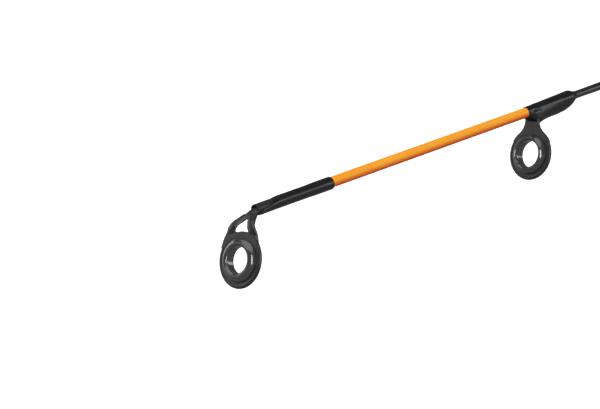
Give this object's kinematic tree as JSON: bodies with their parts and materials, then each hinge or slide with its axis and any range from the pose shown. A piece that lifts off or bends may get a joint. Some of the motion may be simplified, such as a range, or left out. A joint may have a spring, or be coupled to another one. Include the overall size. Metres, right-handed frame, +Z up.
{
  "type": "ice fishing rod",
  "caption": "Short one-piece fishing rod with a slim tip, a coloured tip sleeve, leaning ring guides, foam grips and a screw reel seat.",
  "frame": {"origin": "centre of the butt cap's flat end face, on the rod axis", "axes": "+X along the rod to the tip, +Z up with the guides and reel seat on the -Z side, +Y to the left looking to the tip"},
  "size_m": [0.6044, 0.025, 0.0345],
  "materials": {
    "blank_lacquer": "satin",
    "orange_tube": "satin",
    "black_frame_metal": "satin",
    "ring_ceramic": "gloss",
    "shrink_tube": "satin",
    "trim_aluminium": "satin",
    "grip_foam": "matte",
    "seat_nylon": "satin",
    "soft_rubber": "matte",
    "arbor_plastic": "matte"
  },
  "bodies": {
    "rod": {"blank": "blank_lacquer", "tip_sleeve": "orange_tube", "tip_top_tube": "black_frame_metal", "tip_top_frame": "black_frame_metal", "tip_top_ring": "ring_ceramic", "tip_top_wrap": "shrink_tube", "guide_1_frame": "black_frame_metal", "guide_1_ring": "ring_ceramic", "guide_1_wrap": "shrink_tube", "guide_2_frame": "black_frame_metal", "guide_2_ring": "ring_ceramic", "guide_2_wrap": "shrink_tube", "guide_3_frame": "black_frame_metal", "guide_3_ring": "ring_ceramic", "guide_3_wrap": "shrink_tube", "hook_keeper": "black_frame_metal", "keeper_wrap_front": "shrink_tube", "keeper_wrap_rear": "shrink_tube", "winding_check": "trim_aluminium", "fore_grip": "grip_foam", "front_trim_ring": "trim_aluminium", "seat_body": "seat_nylon", "fixed_hood": "seat_nylon", "fixed_hood_liner": "soft_rubber", "seat_arbor_front": "arbor_plastic", "seat_arbor_rear": "arbor_plastic", "rear_trim_ring": "trim_aluminium", "rear_grip": "grip_foam", "butt_cap": "soft_rubber"},
    "hood": {"moving_hood": "seat_nylon", "moving_hood_liner": "soft_rubber", "thrust_washer": "trim_aluminium"},
    "nut": {"lock_nut": "seat_nylon"}
  },
  "joints": [
    {"name": "hood_slide", "type": "slide", "parent": "rod", "child": "hood", "axis": [1, 0, 0], "range_m": [-0.02, 0]},
    {"name": "nut_turn", "type": "hinge", "parent": "hood", "child": "nut", "pos_m": [0.1902, 0, 0], "axis": [1, 0, 0], "range_deg": [-3600, 0]}
  ],
  "couplings": [
    {"joint": "nut_turn", "follows": "hood_slide", "rad_per_m": 3141.6}
  ]
}
